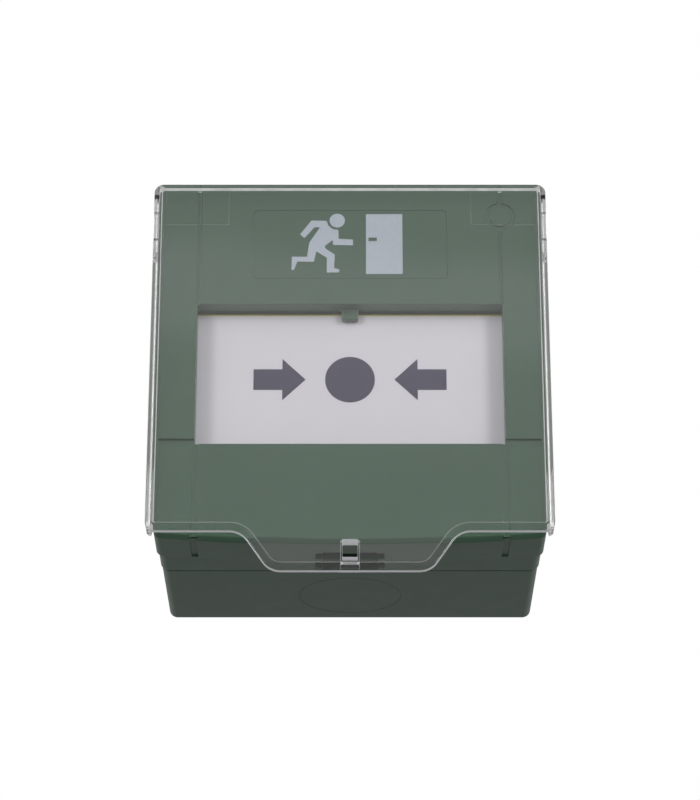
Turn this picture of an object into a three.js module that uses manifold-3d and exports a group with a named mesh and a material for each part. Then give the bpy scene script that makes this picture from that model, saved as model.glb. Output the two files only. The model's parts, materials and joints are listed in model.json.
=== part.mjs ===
// Manual call point for an emergency exit: a wall box, a chassis with the switch
// gear, a clip-on front cap with a press-in element, and a clear hinged flap.
//
// Millimetres, +Z up, the front faces -Y. The origin is the centre of the back
// face of the wall box, on the wall. The object is symmetric about x = 0.

import * as THREE from 'three';
import { mergeVertices } from 'three/addons/utils/BufferGeometryUtils.js';
import Module from 'manifold-3d';

const wasm = await Module();
wasm.setup();

// ---------------------------------------------------------------- dimensions

const GAP = 0.3;                       // clearance between neighbouring pieces

// Housing, from the wall (y = 0) to the face of the cap
const FACE_Y = -57;                    // face of the front cap
const CAP_HALF_WIDTH = 44.95;
const CAP_TOP = 45;
const CAP_BOTTOM = -44.9;              // at the corners
const CAP_BOW = 1.7;                   // how far the middle of the bottom edge hangs lower
const CAP_DEPTH = 12.5;
const CAP_WALL = 2;
const CAP_CHAMFER = 0.9;
const CAP_CORNER = 1.6;
const CAP_REAR_Y = FACE_Y + CAP_DEPTH;

const BOX_DEPTH = 33;
const BOX_HALF = 44.35;
const BOX_WALL = 2.4;
const BOX_CORNER = 2;
const RIM_INNER_HALF = 39.4;           // inside of the thick front rim of the box
const RIM_DEPTH = 2.5;

const CHASSIS_HALF = 44.6;
const CHASSIS_INNER_HALF = 41;
const CHASSIS_REAR_Y = -BOX_DEPTH - GAP;
const CHASSIS_FRONT_Y = CAP_REAR_Y + GAP;
const CHASSIS_PLATE = 2;
const PLATE_FRONT_Y = CHASSIS_REAR_Y - CHASSIS_PLATE;

// Window in the cap, and the element behind it
const WINDOW_HALF = 36;
const WINDOW_TOP = 13.55;
const WINDOW_BOTTOM = -22.1;
const RECESS_DEPTH = 4.5;
const RECESS_REAR_Y = FACE_Y + RECESS_DEPTH;
const ELEMENT_HALF = 37.2;
const ELEMENT_TOP = 13.05;
const ELEMENT_BOTTOM = -23.5;
const ELEMENT_THICKNESS = 1.6;
const ELEMENT_FRONT_Y = RECESS_REAR_Y + GAP;
const CARRIER_THICKNESS = 2.6;
const CARRIER_FRONT_Y = ELEMENT_FRONT_Y + ELEMENT_THICKNESS + GAP;
const CARRIER_REAR_Y = CARRIER_FRONT_Y + CARRIER_THICKNESS;

// Lines moulded into the face of the cap
const GROOVE_DEPTH = 0.35;
const UPPER_GROOVE_X = 35.8;
const UPPER_GROOVE_WIDTH = 0.85;
const LOWER_GROOVE_X = 35.9;
const LOWER_GROOVE_WIDTH = 1.45;
const PILLAR_TOP = 13.1;
const PILLAR_BOTTOM = -21.1;
const PILLAR_RISE = 0.35;
const RING_Z = 36.65;
const RING_OUTER = 3.65;
const RING_INNER = 2.45;
const LABEL_HALF = 23.1;
const LABEL_TOP = 38.45;
const LABEL_BOTTOM = 20.25;
const LABEL_CORNER = 1.3;
const LABEL_RECESS = 0.6;

// Key slot in the bottom of the cap
const KEY_SLOT_Y = -47.95;
const KEY_SLOT_DEPTH = 4.7;
const KEY_SLOT_HALF = 6.4;
const KEY_SLOT_END_HALF = 8;
const KEY_SLOT_END_DEPTH = 3.4;

// Clear flap
const FLAP_FRONT_Y = -61.5;
const FLAP_PANE = 1.8;
const FLAP_HALF = 46.65;
const FLAP_SIDE = 1.3;
const FLAP_TOP = 43.65;
const FLAP_BOTTOM = -45.2;
const FLAP_TAB_BOTTOM = -54.85;
const FLAP_TAB_HALF = 18.3;
const FLAP_SHOULDER_HALF = 24.9;
const FLAP_ROUND = 2.6;                // reach of the round stretches beside the tab
const FLAP_CORNER = 2.2;
const FLAP_SIDE_REAR_Y = -52;
const FLAP_FOOT_REAR_Y = -57;          // the side walls rise from here to their full depth
const FLAP_FOOT_RISE = 3.7;
const FLAP_EAR_REAR_Y = -49.5;
const FLAP_EAR_BOTTOM = 29;
const FLAP_RIM_REAR_Y = -59;
const FLAP_PANE_REAR_Y = FLAP_FRONT_Y + FLAP_PANE;
const FLAP_RIM_THICKNESS = 0.7;
const FLAP_BORDER_WIDTH = 1.9;         // sloping border round the front of the pane
const FLAP_BORDER_DEPTH = 0.4;
const FLAP_PAD_INNER_X = 28.8;         // pads behind the top corners
const FLAP_PAD_BOTTOM = 32.7;
const FLAP_PAD_RISE = 0.35;
const SEAL_HALF = 2.4;                 // duct for a seal, in the tab
const SEAL_WALL = 0.6;
const SEAL_TOP = -46.95;
const SEAL_BOTTOM = -52;
const SEAL_REAR_Y = -57.6;
const HINGE_Y = -53.8;
const HINGE_Z = 40.8;
const HINGE_STUB_RADIUS = 1.4;
const EAR_SLOT_TOP = HINGE_Z - 2.6;    // slot that lets the ear spring outwards
const EAR_SLOT_LENGTH = 7;
const EAR_SLOT_HALF = 1;

// Switch gear
const BOARD_HALF = 33;
const BOARD_TOP = 15;
const BOARD_BOTTOM = -11;
const BOARD_THICKNESS = 1.6;
const BOARD_STANDOFF = 1.4;
const BOARD_REAR_Y = PLATE_FRONT_Y - BOARD_STANDOFF - GAP;
const BOARD_FRONT_Y = BOARD_REAR_Y - BOARD_THICKNESS;
const BOARD_SCREW_X = 28;
const BOARD_SCREW_Z = -7;
const SWITCH_X = 14;
const SWITCH_Z = 2;
const SWITCH_LENGTH = 12.8;
const SWITCH_HEIGHT = 5.8;
const SWITCH_DEPTH = 6.5;
const SWITCH_REAR_Y = BOARD_FRONT_Y - GAP;
const SWITCH_FRONT_Y = SWITCH_REAR_Y - SWITCH_DEPTH;
const PLUNGER_OUT = 1.1;
const TERMINAL_POLES = 6;
const TERMINAL_PITCH = 5.08;
const TERMINAL_DEPTH = 11.2;
const TERMINAL_HALF_HEIGHT = 6;
const TERMINAL_FRONT_Y = BOARD_REAR_Y + GAP;
const TERMINAL_REAR_Y = TERMINAL_FRONT_Y + TERMINAL_DEPTH;
const CHASSIS_SCREW_X = 36.3;
const EARTH_X = -36;
const EARTH_Z = -30;
const EARTH_HALF = 2.6;
const EARTH_DEPTH = 6;
const EARTH_FRONT_Y = -12.3;
const EARTH_SCREW_RADIUS = 1.5;
const EARTH_POST_HALF = 3;
const STRIP_FRONT_Y = -45.2;
const STRIP_THICKNESS = 0.8;

// Reset slider, above the key slot
const SLIDER_HALF = 2.6;
const SLIDER_TOP = -24;
const SLIDER_FOOT_BOTTOM = -42.5;
const SLIDER_STEM_FRONT_Y = -45.2;
const SLIDER_STEM_REAR_Y = -41.2;
const SPRING_SHELF_Z = -14;
const SPRING_RADIUS = 1.9;
const SPRING_WIRE = 0.6;

// ------------------------------------------------------------------ materials

const material = (color, roughness, metalness = 0) =>
  new THREE.MeshStandardMaterial({ color, roughness, metalness });

const greenPlastic = material(0x3f5a48, 0.5);
const whitePlastic = material(0xdcdbd8, 0.45);
const yellowPlastic = material(0xd8c832, 0.5);
const greyPlastic = material(0x7c8083, 0.55);
const blackPlastic = material(0x1d1f21, 0.5);
const redPlastic = material(0xb5372c, 0.45);
const boardResin = material(0x1f5c3a, 0.45);
const labelFilm = material(0x3c5645, 0.4);
const foam = material(0x26282a, 0.95);
const plating = material(0xb9bcbf, 0.35, 1);
const brass = material(0xb89a4e, 0.35, 1);
const clearPlastic = new THREE.MeshStandardMaterial({
  color: 0xe4ecec,
  roughness: 0.08,
  metalness: 0,
  transparent: true,
  opacity: 0.35,
});

// -------------------------------------------------------------- shape helpers

const CURVE_STEPS = 6;
const ROUND_STEPS = 24;

function toSolid(geometry) {
  const source = geometry.clone();
  source.deleteAttribute('normal');
  source.deleteAttribute('uv');
  const merged = mergeVertices(source, 1e-4);
  return new wasm.Manifold(new wasm.Mesh({
    numProp: 3,
    vertProperties: new Float32Array(merged.attributes.position.array),
    triVerts: new Uint32Array(merged.index.array),
  }));
}

function toGeometry(solid) {
  const mesh = solid.getMesh();
  const geometry = new THREE.BufferGeometry();
  geometry.setAttribute('position', new THREE.BufferAttribute(mesh.vertProperties, 3));
  geometry.setIndex(new THREE.BufferAttribute(mesh.triVerts, 1));
  geometry.computeVertexNormals();
  return geometry;
}

const join = (...solids) => solids.reduce((whole, solid) => whole.add(solid));
const cut = (solid, ...tools) => tools.reduce((rest, tool) => rest.subtract(tool), solid);

// A block between two corners
function block(x0, x1, y0, y1, z0, z1) {
  const geometry = new THREE.BoxGeometry(x1 - x0, y1 - y0, z1 - z0);
  geometry.translate((x0 + x1) / 2, (y0 + y1) / 2, (z0 + z1) / 2);
  return toSolid(geometry);
}

// The same block on both sides of x = 0
const blockPair = (x0, x1, ...rest) => join(block(x0, x1, ...rest), block(-x1, -x0, ...rest));

// An extrusion whose two ends are bevelled: depth of the bevel along the
// extrusion, and its width across the end face
function extruded(shape, depth, bevelDepth = 0, bevelWidth = bevelDepth) {
  return new THREE.ExtrudeGeometry(shape, {
    depth: depth - 2 * bevelDepth,
    curveSegments: CURVE_STEPS,
    bevelEnabled: bevelDepth > 0,
    bevelThickness: bevelDepth,
    bevelSize: bevelWidth,
    bevelOffset: -bevelWidth,
    bevelSegments: 1,
  });
}

// A shape drawn in x and z, between two distances from the wall
function plateAcrossY(shape, yFront, yRear, bevelDepth = 0, bevelWidth = bevelDepth) {
  const geometry = extruded(shape, yRear - yFront, bevelDepth, bevelWidth);
  geometry.rotateX(Math.PI / 2);
  geometry.translate(0, yRear - bevelDepth, 0);
  return toSolid(geometry);
}

// A shape drawn in y and z, between two places along x
function plateAcrossX(shape, x0, x1) {
  const geometry = extruded(shape, x1 - x0);
  const turn = new THREE.Matrix4().makeBasis(
    new THREE.Vector3(0, 1, 0), new THREE.Vector3(0, 0, 1), new THREE.Vector3(1, 0, 0));
  geometry.applyMatrix4(turn);
  geometry.translate(x0, 0, 0);
  return toSolid(geometry);
}

function roundedRect(x0, x1, z0, z1, radius) {
  const shape = new THREE.Shape();
  shape.moveTo(x0 + radius, z0);
  shape.lineTo(x1 - radius, z0);
  shape.absarc(x1 - radius, z0 + radius, radius, -Math.PI / 2, 0);
  shape.lineTo(x1, z1 - radius);
  shape.absarc(x1 - radius, z1 - radius, radius, 0, Math.PI / 2);
  shape.lineTo(x0 + radius, z1);
  shape.absarc(x0 + radius, z1 - radius, radius, Math.PI / 2, Math.PI);
  shape.lineTo(x0, z0 + radius);
  shape.absarc(x0 + radius, z0 + radius, radius, Math.PI, Math.PI * 1.5);
  return shape;
}

const squareOf = (half, radius) => roundedRect(-half, half, -half, half, radius);

function roundBar(radius, length, steps = ROUND_STEPS) {
  return new THREE.CylinderGeometry(radius, radius, length, steps);
}

// A round bar along y, x or z
function barY(x, z, radius, y0, y1, steps) {
  const geometry = roundBar(radius, y1 - y0, steps);
  geometry.translate(x, (y0 + y1) / 2, z);
  return toSolid(geometry);
}

function barX(y, z, radius, x0, x1, steps) {
  const geometry = roundBar(radius, x1 - x0, steps);
  geometry.rotateZ(Math.PI / 2);
  geometry.translate((x0 + x1) / 2, y, z);
  return toSolid(geometry);
}

function barZ(x, y, radius, z0, z1, steps) {
  const geometry = roundBar(radius, z1 - z0, steps);
  geometry.rotateX(Math.PI / 2);
  geometry.translate(x, y, (z0 + z1) / 2);
  return toSolid(geometry);
}

// ------------------------------------------------------------------- the group

const callPoint = new THREE.Group();
callPoint.name = 'manual_call_point';

function place(name, solid, finish) {
  const mesh = new THREE.Mesh(toGeometry(solid), finish);
  mesh.name = name;
  callPoint.add(mesh);
}

const SIDES = [['left', -1], ['right', 1]];

// Two distances from the middle, as low and high x on one side
const span = (side, near, far) => (side > 0 ? [near, far] : [-far, -near]);

// -------------------------------------------------------------------- wall box

function makeBackBox() {
  const knockoutRadius = 12.5;
  const knockoutLine = 0.35;
  const knockoutDepth = 0.15;
  const knockoutY = -16;
  const fixingZ = 30.15;
  const bossRadius = 3.6;
  const cavityRear = -2.5;
  const rimRear = -BOX_DEPTH + RIM_DEPTH;
  const past = 1;                      // how far a cutting tool reaches past a face

  const outer = plateAcrossY(squareOf(BOX_HALF, BOX_CORNER), -BOX_DEPTH, 0);
  const cavity = plateAcrossY(squareOf(BOX_HALF - BOX_WALL, 1), rimRear, cavityRear);
  const mouth = plateAcrossY(squareOf(RIM_INNER_HALF, 1), -BOX_DEPTH - past, rimRear + past);
  const seat = gasketRing(RIM_INNER_HALF + 1, BOX_HALF - 1.4, -BOX_DEPTH - past, -BOX_DEPTH + 1.2);
  let solid = cut(outer, cavity, mouth, seat);

  for (const [, side] of SIDES) {
    const boss = barY(side * CHASSIS_SCREW_X, 0, bossRadius, -BOX_DEPTH + 0.3, cavityRear + past);
    const web = block(
      ...span(side, CHASSIS_SCREW_X, BOX_HALF - 1), rimRear - past, cavityRear + past, -1.2, 1.2);
    const pilot = barY(side * CHASSIS_SCREW_X, 0, 1.75, -BOX_DEPTH - past, -12);
    solid = cut(join(solid, boss, web), pilot);
  }

  // Fixing slots through the back, 60.3 mm apart, and a rear cable entry to knock out
  for (const end of [-1, 1]) {
    const z = end * fixingZ;
    const slot = roundedRect(-4.2, 4.2, z - 2.3, z + 2.3, 2.2);
    solid = cut(solid, plateAcrossY(slot, cavityRear - past, past));
  }
  const rearRadius = 10;
  const rearLine = cut(
    barY(0, 0, rearRadius, -0.5, past),
    barY(0, 0, rearRadius - 0.8, -past, 2 * past));
  solid = cut(solid, rearLine);

  // Cable entries to knock out, top and bottom
  for (const end of [-1, 1]) {
    const wallZ = end * BOX_HALF;
    const low = wallZ - knockoutDepth;
    const high = wallZ + knockoutDepth;
    const line = cut(
      barZ(0, knockoutY, knockoutRadius, low, high, 40),
      barZ(0, knockoutY, knockoutRadius - knockoutLine, low - 1, high + 1, 40));
    solid = cut(solid, line);
  }

  // Post under the earth terminal
  const post = block(
    EARTH_X - EARTH_POST_HALF, EARTH_X + EARTH_POST_HALF,
    EARTH_FRONT_Y + EARTH_DEPTH + GAP, cavityRear + past,
    EARTH_Z - EARTH_POST_HALF, EARTH_Z + EARTH_POST_HALF);
  return join(solid, post);
}

// A square ring across y, the shape of the gasket and of its seat
function gasketRing(innerHalf, outerHalf, yFront, yRear) {
  const outer = plateAcrossY(squareOf(outerHalf, 1), yFront, yRear);
  const inner = plateAcrossY(squareOf(innerHalf, 1), yFront - 1, yRear + 1);
  return cut(outer, inner);
}

function makeGasket() {
  return gasketRing(RIM_INNER_HALF + 1 + GAP, BOX_HALF - 1.4 - GAP, -BOX_DEPTH, -BOX_DEPTH + 0.9);
}

// --------------------------------------------------------------------- chassis

function makeChassis() {
  const lipHalf = CAP_HALF_WIDTH - CAP_WALL - 0.45;
  const lipDepth = 2.8;
  const plateReach = PLATE_FRONT_Y + 0.5;

  const outline = roundedRect(-CHASSIS_HALF, CHASSIS_HALF, -BOX_HALF, BOX_HALF, BOX_CORNER);
  const band = plateAcrossY(outline, CHASSIS_FRONT_Y, CHASSIS_REAR_Y);
  const lip = plateAcrossY(squareOf(lipHalf, 1), CHASSIS_FRONT_Y - lipDepth, CHASSIS_FRONT_Y + 1);
  const well = plateAcrossY(
    squareOf(CHASSIS_INNER_HALF, 1), CHASSIS_FRONT_Y - lipDepth - 1, PLATE_FRONT_Y);
  let solid = cut(join(band, lip), well);

  // Ribs beside the carrier
  for (const z of [-15, 7]) {
    const ribX = ELEMENT_HALF + 0.4;
    const ribFront = CARRIER_REAR_Y - 1.6;
    solid = join(solid, blockPair(ribX, CHASSIS_INNER_HALF + 0.5, ribFront, plateReach, z - 1, z + 1));
  }

  // Ribs and spring shelf around the reset slider
  const guideX = SLIDER_HALF + 0.5;
  const guideFront = SLIDER_STEM_FRONT_Y;
  solid = join(
    solid,
    blockPair(guideX, guideX + 1.4, guideFront, plateReach, -40, SLIDER_TOP - 2),
    blockPair(guideX, guideX + 1.4, guideFront, plateReach, SPRING_SHELF_Z - 3, SPRING_SHELF_Z + 1.4),
    block(-guideX - 1, guideX + 1, guideFront, plateReach, SPRING_SHELF_Z, SPRING_SHELF_Z + 1.4));

  // Posts for the indicator strip, and standoffs under the circuit board
  solid = join(solid, blockPair(34, 36, STRIP_FRONT_Y + STRIP_THICKNESS + GAP, plateReach, 14.4, 17.6));
  for (const [, side] of SIDES) {
    const boardScrew = [side * BOARD_SCREW_X, BOARD_SCREW_Z];
    const standoff = barY(...boardScrew, 3, PLATE_FRONT_Y - BOARD_STANDOFF, plateReach);
    const pilot = barY(...boardScrew, 1.55, PLATE_FRONT_Y - 3, CHASSIS_REAR_Y + 1);
    const clearance = barY(side * CHASSIS_SCREW_X, 0, 2.1, PLATE_FRONT_Y - 1, CHASSIS_REAR_Y + 1);
    solid = cut(join(solid, standoff), pilot, clearance);
  }

  const terminalWindow = block(-17, 17, PLATE_FRONT_Y - 1, CHASSIS_REAR_Y + 1, -8, 8);
  const keyNotch = block(-9.5, 9.5, CHASSIS_FRONT_Y - lipDepth - 1, CHASSIS_FRONT_Y, -46, -40);
  return cut(solid, terminalWindow, keyNotch);
}

// ------------------------------------------------------------------- front cap

function capOutline(inset) {
  const half = CAP_HALF_WIDTH - inset;
  const top = CAP_TOP - inset;
  const bottom = CAP_BOTTOM + inset;
  const corner = Math.max(CAP_CORNER - inset, 0.4);
  const chordHalf = half - corner;
  const bowRadius = (chordHalf ** 2 + CAP_BOW ** 2) / (2 * CAP_BOW);
  const bowAngle = Math.asin(chordHalf / bowRadius);
  const shape = new THREE.Shape();
  shape.absarc(
    0, bottom - CAP_BOW + bowRadius, bowRadius, -Math.PI / 2 - bowAngle, -Math.PI / 2 + bowAngle);
  shape.absarc(half - corner, bottom + corner, corner, -Math.PI / 2, 0);
  shape.lineTo(half, top - corner);
  shape.absarc(half - corner, top - corner, corner, 0, Math.PI / 2);
  shape.lineTo(-half + corner, top);
  shape.absarc(-half + corner, top - corner, corner, Math.PI / 2, Math.PI);
  shape.lineTo(-half, bottom + corner);
  shape.absarc(-half + corner, bottom + corner, corner, Math.PI, Math.PI * 1.5);
  return shape;
}

function capGrooves() {
  const floor = FACE_Y + GROOVE_DEPTH;
  const front = FACE_Y - 2;
  const bottomFloor = CAP_BOTTOM - 0.15;
  const halfUpper = UPPER_GROOVE_WIDTH / 2;
  const halfLower = LOWER_GROOVE_WIDTH / 2;
  const upper = blockPair(
    UPPER_GROOVE_X - halfUpper, UPPER_GROOVE_X + halfUpper, front, floor, WINDOW_TOP, CAP_TOP + 1);
  const lower = blockPair(
    LOWER_GROOVE_X - halfLower, LOWER_GROOVE_X + halfLower, front, floor, CAP_BOTTOM - 3, WINDOW_BOTTOM);
  const underside = blockPair(
    LOWER_GROOVE_X - halfLower, LOWER_GROOVE_X + halfLower,
    front, CAP_REAR_Y - 1, CAP_BOTTOM - 3, bottomFloor);
  const cross = blockPair(
    WINDOW_HALF - 0.5, CAP_HALF_WIDTH + 1, front, floor, WINDOW_BOTTOM - 0.5, PILLAR_BOTTOM);
  const ring = barY(UPPER_GROOVE_X, RING_Z, RING_OUTER, front, floor, 32);
  const island = barY(UPPER_GROOVE_X, RING_Z, RING_INNER, front - 1, floor + 1, 32);
  return join(cut(join(upper, ring), island), lower, underside, cross);
}

function keySlot(zLow, zHigh) {
  const halfDepth = KEY_SLOT_DEPTH / 2;
  const halfEnd = KEY_SLOT_END_DEPTH / 2;
  return join(
    block(-KEY_SLOT_HALF, KEY_SLOT_HALF, KEY_SLOT_Y - halfDepth, KEY_SLOT_Y + halfDepth, zLow, zHigh),
    block(-KEY_SLOT_END_HALF, KEY_SLOT_END_HALF, KEY_SLOT_Y - halfEnd, KEY_SLOT_Y + halfEnd, zLow, zHigh));
}

function makeFrontCap() {
  const past = 2;
  const frameMargin = 2;
  const shellLong = plateAcrossY(capOutline(0), FACE_Y, CAP_REAR_Y + past, CAP_CHAMFER);
  const shell = cut(shellLong, block(-60, 60, CAP_REAR_Y, CAP_REAR_Y + 2 * past, -60, 60));
  const inside = plateAcrossY(capOutline(CAP_WALL), FACE_Y + CAP_WALL, CAP_REAR_Y + past);
  const frame = block(
    -WINDOW_HALF - frameMargin, WINDOW_HALF + frameMargin, FACE_Y + 1, RECESS_REAR_Y,
    WINDOW_BOTTOM - frameMargin, WINDOW_TOP + frameMargin);
  const pillars = blockPair(
    WINDOW_HALF - 1, CAP_HALF_WIDTH - CAP_CHAMFER + 0.3,
    FACE_Y - PILLAR_RISE, FACE_Y + 1, PILLAR_BOTTOM, PILLAR_TOP);
  const windowHole = block(
    -WINDOW_HALF, WINDOW_HALF, FACE_Y - past, RECESS_REAR_Y + past, WINDOW_BOTTOM, WINDOW_TOP);
  const labelShape = roundedRect(-LABEL_HALF, LABEL_HALF, LABEL_BOTTOM, LABEL_TOP, LABEL_CORNER);
  const labelSeat = plateAcrossY(labelShape, FACE_Y - past, FACE_Y + LABEL_RECESS);
  let solid = cut(
    join(cut(shell, inside), frame, pillars), windowHole, labelSeat, capGrooves(),
    keySlot(CAP_BOTTOM - 4, CAP_BOTTOM + 4));

  // Tab that hangs from the lintel in front of the element
  solid = join(solid, block(-1.95, 1.95, FACE_Y + 2.8, RECESS_REAR_Y - 0.1, 10.9, WINDOW_TOP + 1));

  for (const [, side] of SIDES) {
    const wall = span(side, CAP_HALF_WIDTH - CAP_WALL - 1, CAP_HALF_WIDTH + 1);
    solid = cut(solid, barX(HINGE_Y, HINGE_Z, HINGE_STUB_RADIUS + GAP, ...wall));
  }
  return solid;
}

function makeSignLabel() {
  const shape = roundedRect(
    -LABEL_HALF + GAP, LABEL_HALF - GAP, LABEL_BOTTOM + GAP, LABEL_TOP - GAP, LABEL_CORNER - GAP);
  return plateAcrossY(shape, FACE_Y + 0.05, FACE_Y + LABEL_RECESS - 0.2);
}

// ------------------------------------------------------------------ clear flap

// Front outline with the tab at the bottom, drawn anticlockwise from the top right
function flapOutline() {
  const corner = FLAP_CORNER;
  const slope = new THREE.Vector2(
    FLAP_SHOULDER_HALF - FLAP_TAB_HALF, FLAP_BOTTOM - FLAP_TAB_BOTTOM).setLength(FLAP_ROUND);
  const shape = new THREE.Shape();
  shape.moveTo(FLAP_HALF - corner, FLAP_TOP);
  shape.lineTo(-FLAP_HALF + corner, FLAP_TOP);
  shape.absarc(-FLAP_HALF + corner, FLAP_TOP - corner, corner, Math.PI / 2, Math.PI);
  shape.lineTo(-FLAP_HALF, FLAP_BOTTOM + corner);
  shape.absarc(-FLAP_HALF + corner, FLAP_BOTTOM + corner, corner, Math.PI, Math.PI * 1.5);
  shape.lineTo(-FLAP_SHOULDER_HALF - FLAP_ROUND, FLAP_BOTTOM);
  shape.quadraticCurveTo(
    -FLAP_SHOULDER_HALF, FLAP_BOTTOM, -FLAP_SHOULDER_HALF + slope.x, FLAP_BOTTOM - slope.y);
  shape.lineTo(-FLAP_TAB_HALF - slope.x, FLAP_TAB_BOTTOM + slope.y);
  shape.quadraticCurveTo(
    -FLAP_TAB_HALF, FLAP_TAB_BOTTOM, -FLAP_TAB_HALF + FLAP_ROUND, FLAP_TAB_BOTTOM);
  shape.lineTo(FLAP_TAB_HALF - FLAP_ROUND, FLAP_TAB_BOTTOM);
  shape.quadraticCurveTo(
    FLAP_TAB_HALF, FLAP_TAB_BOTTOM, FLAP_TAB_HALF + slope.x, FLAP_TAB_BOTTOM + slope.y);
  shape.lineTo(FLAP_SHOULDER_HALF - slope.x, FLAP_BOTTOM - slope.y);
  shape.quadraticCurveTo(
    FLAP_SHOULDER_HALF, FLAP_BOTTOM, FLAP_SHOULDER_HALF + FLAP_ROUND, FLAP_BOTTOM);
  shape.lineTo(FLAP_HALF - corner, FLAP_BOTTOM);
  shape.absarc(FLAP_HALF - corner, FLAP_BOTTOM + corner, corner, -Math.PI / 2, 0);
  shape.lineTo(FLAP_HALF, FLAP_TOP - corner);
  shape.absarc(FLAP_HALF - corner, FLAP_TOP - corner, corner, 0, Math.PI / 2);
  return shape;
}

// Side wall in y and z, with the ear that carries the hinge stub
function flapSideOutline() {
  const ease = 1.5;
  const shape = new THREE.Shape();
  shape.moveTo(FLAP_PANE_REAR_Y - 0.5, FLAP_BOTTOM);
  shape.lineTo(FLAP_FOOT_REAR_Y, FLAP_BOTTOM);
  shape.lineTo(FLAP_SIDE_REAR_Y, FLAP_BOTTOM + FLAP_FOOT_RISE);
  shape.lineTo(FLAP_SIDE_REAR_Y, FLAP_EAR_BOTTOM - 2 * ease);
  shape.lineTo(FLAP_EAR_REAR_Y, FLAP_EAR_BOTTOM);
  shape.lineTo(FLAP_EAR_REAR_Y, FLAP_TOP - ease);
  shape.lineTo(FLAP_EAR_REAR_Y - ease, FLAP_TOP);
  shape.lineTo(FLAP_PANE_REAR_Y - 0.5, FLAP_TOP);
  return shape;
}

// The two side walls, rounded where they follow the corners of the pane
function flapSides() {
  const innerX = FLAP_HALF - FLAP_SIDE;
  const sleeve = plateAcrossY(
    roundedRect(-FLAP_HALF, FLAP_HALF, FLAP_BOTTOM, FLAP_TOP, FLAP_CORNER),
    FLAP_PANE_REAR_Y - 0.5, FLAP_EAR_REAR_Y);
  const between = block(
    -innerX, innerX, FLAP_FRONT_Y, FLAP_EAR_REAR_Y + 1, FLAP_BOTTOM - 1, FLAP_TOP + 1);
  const profile = plateAcrossX(flapSideOutline(), -FLAP_HALF - 1, FLAP_HALF + 1);
  return cut(sleeve, between).intersect(profile);
}

function makeFlap() {
  const overlap = 0.5;                 // how far joined pieces reach into each other
  const innerX = FLAP_HALF - FLAP_SIDE;
  const backOfPane = FLAP_PANE_REAR_Y - overlap;
  const front = plateAcrossY(
    flapOutline(), FLAP_FRONT_Y, FLAP_PANE_REAR_Y, FLAP_BORDER_DEPTH, FLAP_BORDER_WIDTH);
  const back = plateAcrossY(flapOutline(), FLAP_FRONT_Y + FLAP_BORDER_DEPTH, FLAP_PANE_REAR_Y);
  const rim = block(
    -innerX - overlap, innerX + overlap, backOfPane, FLAP_RIM_REAR_Y,
    FLAP_TOP - FLAP_RIM_THICKNESS, FLAP_TOP - 0.05);
  const pads = blockPair(
    FLAP_PAD_INNER_X, innerX + overlap, backOfPane, FLAP_PANE_REAR_Y + FLAP_PAD_RISE,
    FLAP_PAD_BOTTOM, FLAP_TOP - FLAP_RIM_THICKNESS + overlap);
  const ribs = blockPair(
    UPPER_GROOVE_X - 0.5, UPPER_GROOVE_X + 0.5, backOfPane, FLAP_RIM_REAR_Y - 0.1,
    FLAP_TOP - 1.6, FLAP_TOP - FLAP_RIM_THICKNESS + overlap);
  let solid = join(front, back, flapSides(), rim, pads, ribs);

  for (const [, side] of SIDES) {
    const stubEnd = CAP_HALF_WIDTH - CAP_WALL + 0.4;
    const stubSpan = span(side, stubEnd, innerX + overlap);
    const stub = barX(HINGE_Y, HINGE_Z, HINGE_STUB_RADIUS, ...stubSpan);
    const slot = block(
      ...span(side, innerX - 1, FLAP_HALF + 1), HINGE_Y - EAR_SLOT_HALF, HINGE_Y + EAR_SLOT_HALF,
      EAR_SLOT_TOP - EAR_SLOT_LENGTH, EAR_SLOT_TOP);
    solid = cut(join(solid, stub), slot);
  }

  // Duct for a seal through the tab, and the rib under it
  const duct = block(-SEAL_HALF, SEAL_HALF, backOfPane, SEAL_REAR_Y, SEAL_BOTTOM, SEAL_TOP);
  const rib = block(
    -SEAL_HALF, SEAL_HALF, backOfPane, FLAP_PANE_REAR_Y + 0.8,
    FLAP_TAB_BOTTOM + 0.2, SEAL_BOTTOM + overlap);
  const hole = block(
    -SEAL_HALF + SEAL_WALL, SEAL_HALF - SEAL_WALL, FLAP_FRONT_Y - 1, SEAL_REAR_Y + 1,
    SEAL_BOTTOM + SEAL_WALL, SEAL_TOP - SEAL_WALL / 2);
  return cut(join(solid, duct, rib), hole);
}

// ------------------------------------------------------------ press-in element

function makeElementPlate() {
  const shape = roundedRect(-ELEMENT_HALF, ELEMENT_HALF, ELEMENT_BOTTOM, ELEMENT_TOP, 1);
  return plateAcrossY(shape, ELEMENT_FRONT_Y, ELEMENT_FRONT_Y + ELEMENT_THICKNESS);
}

function makeCarrier() {
  const bottom = -20;
  const top = 12;
  const frameWidth = 4;
  const outer = block(-ELEMENT_HALF, ELEMENT_HALF, CARRIER_FRONT_Y, CARRIER_REAR_Y, bottom, top);
  const beam = [SWITCH_Z - 3, SWITCH_Z + 3];
  const holeX = ELEMENT_HALF - frameWidth;
  const holeY = [CARRIER_FRONT_Y - 1, CARRIER_REAR_Y + 1];
  return cut(
    outer,
    block(-holeX, holeX, ...holeY, bottom + frameWidth, beam[0]),
    block(-holeX, holeX, ...holeY, beam[1], top - frameWidth + 1));
}

function makeIndicatorStrip() {
  return block(-36.5, 36.5, STRIP_FRONT_Y, STRIP_FRONT_Y + STRIP_THICKNESS, 8.5, 18.5);
}

// ----------------------------------------------------------------- switch gear

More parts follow.
